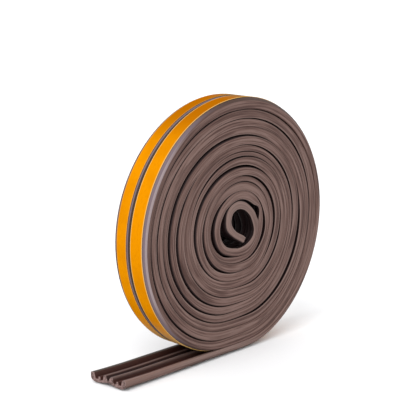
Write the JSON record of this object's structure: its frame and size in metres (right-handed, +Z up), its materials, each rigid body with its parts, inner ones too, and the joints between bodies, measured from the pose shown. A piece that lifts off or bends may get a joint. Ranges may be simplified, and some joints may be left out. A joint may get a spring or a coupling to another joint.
{
  "type": "twin E-profile foam rubber seal strip, coiled",
  "caption": "Coil of brown foam rubber weather seal of twin E section, with orange release liners on its adhesive side and a loose tail.",
  "frame": {"origin": "centre of the object's box, on the floor that it stands on", "axes": "+Z up, X along the tail, which points to -X, Y along the roll's axis"},
  "size_m": [0.1304, 0.018, 0.1145],
  "materials": {
    "foam_rubber": "matt brown closed-cell foam rubber",
    "release_paper": "orange silicone-coated release paper"
  },
  "bodies": {
    "root": {"seal_strip": "foam_rubber", "release_liner_front": "release_paper", "release_liner_rear": "release_paper"}
  },
  "joints": []
}
